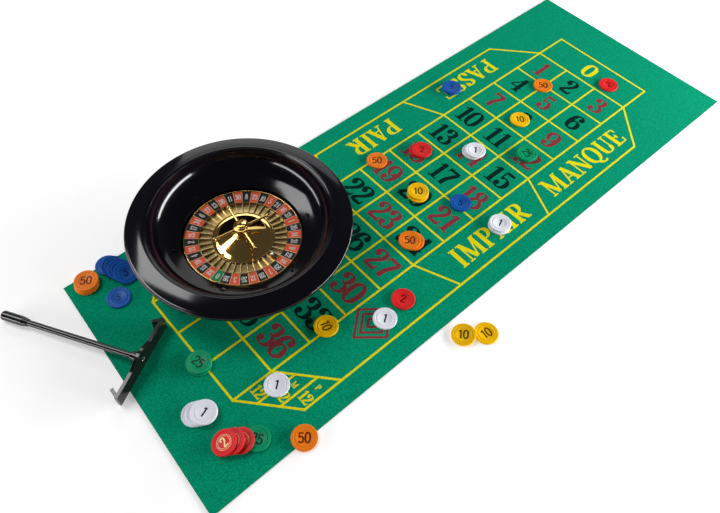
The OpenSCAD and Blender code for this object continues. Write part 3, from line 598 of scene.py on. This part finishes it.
ring_figures, ring_lines = [], []
for k, number in enumerate(POCKETS):
    turn = ZERO_TURN - k * PITCH
    text = lettering(str(number), 8.8 * MM, 0.13, 0.065, narrow=0.72)
    ring_figures += printed(text, on_ring(turn, 70.6 * MM), 0.1 * MM, 0.03 * MM)
    edge = np.array([[-0.25, -8.8], [-0.25, 8.8]]) * MM
    line = (edge, edge * (-1, 1), False)
    ring_lines += printed([line], on_ring(turn - PITCH / 2, 70.1 * MM), 0.1 * MM, 0.03 * MM)
figures = build("number_ring_figures", ring_figures, [ring_white], "rotor")
lines = build("number_ring_lines", ring_lines, [ring_line], "rotor")

# ---- Pockets ----
# A gold-plated tray forms the pockets' floor and both their walls, and 37 thin separators stand in it.

# The tray's gold is darker than the separators' and the cone's: painted shade standing in for the dark
# reflections in the pocket floors.
pocket_gold_painted_shade = metal("pocket_gold_painted_shade", (0.5, 0.36, 0.15), 0.24, 0.16, 0.0001)
tray_profile = np.vstack([
    [(42.5, 15.0), (60.95, 15.0), (60.95, 20.35)], arc(60.5, 20.35, 0.45, 0, 180, 6),
    [(60.0, 20.1), (59.9, 17.2)], arc(59.1, 17.2, 0.8, 0, -90, 5), arc(44.3, 17.2, 0.8, -90, -180, 5),
    [(43.4, 19.1)], arc(42.95, 19.1, 0.4, 0, 180, 6),
])
tray = build("pocket_tray_turned", [turned(tray_profile)], [pocket_gold_painted_shade], "rotor", ["pocket_tray"])
fret_gold = metal("separator_gold", (0.98, 0.78, 0.42), 0.36, 0.1, 0.0002)
finish_nodes(["pocket_frets"], fret_gold)

# ---- Cone and turret ----
# A spun, gold-plated cone covers the hub. A stud clamps the turret on it: a flared base, a beaded
# column, four rods with round ends, and a stepped cap.

CONE_R, FLARE_R, CONE_TOP_R, CONE_EDGE_Z, CONE_Z = 42.3, 33.3, 12.0, 18.6, 29.5
CONE_T = 1.6
slope = (CONE_Z - CONE_EDGE_Z) / (FLARE_R - CONE_TOP_R + (CONE_R - FLARE_R) / 2)
outward = np.linspace(0, 1, 41)
cone_r = CONE_TOP_R + (CONE_R - CONE_TOP_R) * outward
flare = CONE_EDGE_Z + slope * (CONE_R - cone_r) ** 2 / (CONE_R - FLARE_R) / 2
cone_z = np.where(cone_r <= FLARE_R, CONE_Z - slope * (cone_r - CONE_TOP_R), flare)
under_r = cone_r - CONE_T * (0.3 + 0.7 * outward)
cone_profile = np.vstack([
    [(2.03, CONE_Z - CONE_T), (2.03, CONE_Z)], np.stack([cone_r, cone_z], -1),
    [(CONE_R, 15.0), (CONE_R - CONE_T, 15.0)], np.stack([under_r, cone_z - CONE_T], -1)[::-1],
])
cone = build("spun_cone", [turned(cone_profile)], [gold], "rotor", ["cone"], sharp=40)
finish_nodes(["cone_screws", "turret_stud", "turret_nut"], steel)

ARM_Z = 41.7
base_profile = np.vstack([
    [(2.03, 29.5), (11.1, 29.5)], arc(11.1, 30.0, 0.4, -90, 0, 3),
    [(11.5, 30.8)], arc(11.0, 30.8, 0.5, 0, 90, 4),
    [(10.4, 31.5)], arc(9.9, 34.9, 3.4, 262, 188, 10), [(6.1, 34.5), (2.03, 34.5)],
])
base = build("turret_foot", [turned(base_profile, 96)], [gold], "rotor", ["turret_base"])
LOW, SPAN = 34.5, ARM_Z - 2.7 - 34.5
column_profile = np.vstack([
    [(2.03, LOW), (4.4, LOW)], arc(4.2, LOW + SPAN * 0.28, SPAN * 0.22, -80, 80, 12),
    [(3.6, LOW + SPAN * 0.54)],
    arc(4.0, LOW + SPAN * 0.76, SPAN * 0.18, -80, 80, 10), [(4.2, LOW + SPAN), (2.03, LOW + SPAN)],
])
column = build("turret_beads", [turned(column_profile, 96)], [gold], "rotor", ["turret_column"])
CAP_LOW = ARM_Z + 2.7
cap_profile = np.vstack([
    [(0, CAP_LOW), (8.0, CAP_LOW), (10.0, CAP_LOW + 0.4)], arc(10.1, CAP_LOW + 0.8, 0.4, -60, 90, 7),
    [(9.4, CAP_LOW + 1.0)], arc(8.4, CAP_LOW + 1.0, 0.5, 200, 180, 1),
    arc(7.1, CAP_LOW + 1.9, 0.45, -10, 120, 7), [(6.2, CAP_LOW + 1.85), (5.4, CAP_LOW + 1.8)],
    arc(4.0, CAP_LOW + 2.75, 0.45, -10, 110, 7), [(3.2, CAP_LOW + 2.95)],
    [(1.6, CAP_LOW + 2.8), (0, CAP_LOW + 2.75)],
])
cap = build("turret_stepped_cap", [turned(cap_profile, 96)], [gold], "rotor", ["turret_cap"])
finish_nodes(["arm_hub", "arms", "arm_knobs"], gold)

# ---- Ball ----
# A polished 8 mm steel ball, lying in a pocket.

ball_low, ball_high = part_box("ball")
BALL = (ball_low + ball_high) / 2
ball_r = (ball_high.z - ball_low.z) / 2


def sphere(middle, radius, rings=32, segments=64):
    """Points at equal steps of latitude and longitude."""
    up, turn = np.linspace(-math.pi / 2, math.pi / 2, rings), np.arange(segments) * math.tau / segments
    x = np.cos(up)[:, None] * np.cos(turn)
    y = np.cos(up)[:, None] * np.sin(turn)
    z = np.broadcast_to(np.sin(up)[:, None], x.shape)
    return (np.stack([x, y, z], -1) * radius + np.array(middle), False, True, 0)


ball_steel = metal("polished_ball_steel", (0.8, 0.79, 0.78), 0.05, 0.03, 0.00005)
ball_skin = [sphere(BALL, ball_r)]
ball = build("roulette_ball_polished", ball_skin, [ball_steel], "roulette_ball", ["ball"], sharp=180)

# ---- Rake ----
# The croupier's rake is moulded in glossy black plastic: a blade with turned-in ends and a socket,
# a ribbed shaft and a fatter grip.

rake_black, rake_shader = paint("rake_black_plastic", (0.006, 0.006, 0.0065), 0.17, specular=0.5)
rake_edge = node(rake_black, "ShaderNodeBevel", Radius=0.0006, samples=6)
rake_black.node_tree.links.new(rake_edge.outputs["Normal"], rake_shader.inputs["Normal"])
finish_nodes(["rake_shaft", "rake_grip", "rake_blade"], rake_black)
finish_nodes(["rake_screw"], steel)

# ---- Chips ----
# Injection-moulded chips, 32 mm across and 3 mm thick, with a raised rim and a printed value.
# Each pile's chips are made where the CAD solids of its node lie.

CHIP_T = 3 * MM


def separate_solids(name):
    """Corner points of each separate solid of a CAD node.

    The least point number spreads over faces that share points, until each solid has one number.
    """
    mesh = frame["nodes"][name].data
    co = np.empty(len(mesh.vertices) * 3)
    mesh.vertices.foreach_get("co", co)
    co = co.reshape(-1, 3)
    grid = np.round(co / 2e-6).astype(np.int64)
    _, first, same = np.unique(grid, axis=0, return_index=True, return_inverse=True)
    corners = np.empty(len(mesh.loops), np.int32)
    mesh.loops.foreach_get("vertex_index", corners)
    faces = same.reshape(-1)[corners].reshape(-1, 3)
    label = np.arange(len(first))
    while True:
        least = label[faces].min(1)
        after = label.copy()
        np.minimum.at(after, faces.reshape(-1), np.repeat(least, 3))
        after = after[after]
        if (after == label).all():
            break
        label = after
    welded = co[first]
    return [welded[label == k] for k in np.unique(label)]


def chip_place(points, reading):
    """The chip's frame: its middle, and axes with the third across its faces and the first along reading."""
    middle = (points.max(0) + points.min(0)) / 2
    _, _, axes = np.linalg.svd(points - points.mean(0), full_matrices=False)
    up = axes[2] * np.sign(axes[2][2])
    along = np.array([math.cos(reading), math.sin(reading), 0.0])
    along -= up * along.dot(up)
    along /= np.linalg.norm(along)
    return middle, np.stack([along, np.cross(up, along), up])


face = [(0.0, 2.72), (9.9, 2.72), (10.2, 2.86), (10.8, 2.86), (11.1, 2.72), (12.5, 2.72)]
face += [(12.75, 2.94), (13.1, 2.99)]
edge = [tuple(p) for p in arc(15.35, 2.35, 0.65, 90, 0, 6)]
half = face + edge
chip_profile = np.array(half + [(r, 3.0 - z) for r, z in half[::-1]]) * MM


def chip_shell(middle, axes):
    """The chip's section carried round its own axis."""
    turn = np.arange(72) * math.tau / 72
    x = chip_profile[:, :1] * np.cos(turn)
    y = chip_profile[:, :1] * np.sin(turn)
    z = np.broadcast_to(chip_profile[:, 1:] - CHIP_T / 2, x.shape)
    return (np.stack([x, y, z], -1) @ axes + middle, False, True, 0)


def on_chip(middle, axes):
    """A way of laying flat points on the chip's sunk face."""

    def lay(flat, height):
        local = np.column_stack([flat, np.full(len(flat), chip_profile[0, 1] - CHIP_T / 2 + height)])
        return local @ axes + middle

    return lay


def chip_plastic(name, colour):
    """Satin coloured plastic."""
    finish, shader = paint(name, colour, 0.36, specular=0.15)
    relief(finish, shader, grain(finish, 700, 2), 0.06, 0.0001)
    return finish


CHIP_COLOURS = {
    "white": ((0.82, 0.83, 0.9), (0.015, 0.015, 0.02)), "red": ((0.72, 0.018, 0.02), (0.2, 0.0, 0.0)),
    "blue": ((0.006, 0.085, 0.38), (0.003, 0.01, 0.05)), "yellow": ((0.93, 0.52, 0.0), (0.09, 0.05, 0.0)),
    "green": ((0.0, 0.31, 0.13), (0.0, 0.035, 0.015)), "orange": ((0.86, 0.2, 0.008), (0.12, 0.02, 0.004)),
}


def chip_line(radius, width):
    """A closed ring line printed on the chip's face."""
    turn = np.arange(72) * math.tau / 72
    ring = np.stack([np.cos(turn), np.sin(turn)], -1)
    return (ring * (radius + width / 2), ring * (radius - width / 2), True)


CHIP_VALUES = {"white": "1", "red": "2", "blue": "5", "yellow": "10", "green": "25", "orange": "50"}
PILES = {
    "chip_red_zero": 10, "chip_orange_row_1": -10, "chips_blue_passe": -25, "chip_yellow_row_3": 0,
    "chips_green_row_4": -60, "chips_white_row_5": -10, "chips_red_row_6": 0, "chip_blue_row_6": -20,
    "chips_white_impair": -25, "chips_yellow_row_7": 0, "chip_orange_row_7": 0, "chips_orange_row_8": -5,
    "chip_red_row_9": -15, "chip_white_row_10": -15, "chip_yellow_row_11": -65, "chip_white_dozen": -8,
    "chips_green_end": -35, "chip_blue_end": 0, "chips_orange_corner": 5, "chips_white_fan": -28,
    "chips_blue_fan": 10, "chips_red_fan": 5, "chips_yellow_pair": -8, "chip_green_under_fan": -15,
    "chip_orange_edge": 0,
}
VIEW_TURN = -41.4
shell_finish, value_finish = {}, {}
for colour, (body_colour, value_colour) in CHIP_COLOURS.items():
    shell_finish[colour] = chip_plastic("chip_%s_plastic" % colour, body_colour)
    value_finish[colour], _ = paint("chip_%s_value" % colour, value_colour, 0.4, specular=0.15)
pale_value, _ = paint("chip_pale_value", (0.95, 0.75, 0.4), 0.4, specular=0.15)
for pile, reading in PILES.items():
    colour = next(c for c in CHIP_COLOURS if c in pile.split("_"))
    patches = []
    solids = separate_solids(pile)
    for k, points in enumerate(sorted(solids, key=lambda p: p[:, 2].mean())):
        middle, axes = chip_place(points, math.radians(VIEW_TURN + reading + 40 * (len(solids) - 1 - k)))
        patches.append(chip_shell(middle, axes))
        height = (10.2 if colour == "blue" else 12.4) * MM
        value = lettering(CHIP_VALUES[colour], height, 0.17, 0.14, serifs=False, narrow=1.0)
        if pile == "chips_red_fan":
            value += [chip_line(r * MM, 0.45 * MM) for r in (7.6, 9.3)]
        patches += printed(value, on_chip(middle, axes), 0.1 * MM, 0.03 * MM, 1)
    body = frame["nodes"][pile]["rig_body"]
    ink = pale_value if pile == "chips_red_fan" else value_finish[colour]
    chips = build(pile + "_moulded", patches, [shell_finish[colour], ink], body, [pile])

# ---- Table, light and camera ----
# The set lies on a plain pale table under soft studio light.

table_paint, table_shader = paint("pale_table", (0.88, 0.88, 0.88), 0.6, specular=0.0)
table_shader.inputs["Emission Color"].default_value = (1, 1, 1, 1)
table_shader.inputs["Emission Strength"].default_value = 0.3
bpy.ops.mesh.primitive_plane_add(size=12, location=(0, 0, 0))
floor = bpy.context.object
floor.name = "table_top_plane"
floor.data.materials.append(table_paint)


def softbox(name, turn, rise, distance, wide, tall, power, aim=(0, 0, 0)):
    """A rectangular light at a compass turn and rise from its aim, facing it."""
    light = bpy.data.lights.new(name, "AREA")
    light.shape, light.size, light.size_y, light.energy = "RECTANGLE", wide, tall, power
    lamp = bpy.data.objects.new(name, light)
    bpy.context.scene.collection.objects.link(lamp)
    turn, rise = math.radians(turn), math.radians(rise)
    direction = Vector((math.cos(turn) * math.cos(rise), math.sin(turn) * math.cos(rise), math.sin(rise)))
    lamp.location = Vector(aim) + direction * distance
    lamp.rotation_euler = direction.to_track_quat("Z", "Y").to_euler()


WHEEL = (axis_x, axis_y, 0.05)
softbox("key_softbox", 116, 54, 2.2, 0.85, 1.05, 22, WHEEL)
softbox("far_softbox", 50, 15, 2.5, 2.3, 1.1, 8, WHEEL)
softbox("far_strip", 57, 38, 2.5, 1.2, 0.6, 7, WHEEL)
softbox("right_softbox", -42, 9, 1.6, 1.9, 0.26, 42, WHEEL)
softbox("left_softbox", 157, 8, 1.6, 2.2, 0.24, 20, WHEEL)

world = bpy.data.worlds.new("studio")
world.use_nodes = True
world.node_tree.nodes["Background"].inputs["Color"].default_value = (1, 1, 1, 1)
world.node_tree.nodes["Background"].inputs["Strength"].default_value = 0.06
bpy.context.scene.world = world
bpy.context.scene.view_settings.view_transform = "Standard"

camera_data = bpy.data.cameras.new("camera")
camera_data.sensor_width = 36
camera_data.lens = 33.206
camera_data.clip_end = 50
camera = bpy.data.objects.new("camera", camera_data)
bpy.context.scene.collection.objects.link(camera)
right = Vector((0.74945, -0.66154, 0.02610))
forward = Vector((0.39136, 0.41087, -0.82342))
up = right.cross(forward)
facing = Matrix((right, up, -forward)).transposed().to_4x4()
camera.matrix_world = Matrix.Translation((-0.5293, -0.4106, 0.7606)) @ facing
bpy.context.scene.camera = camera
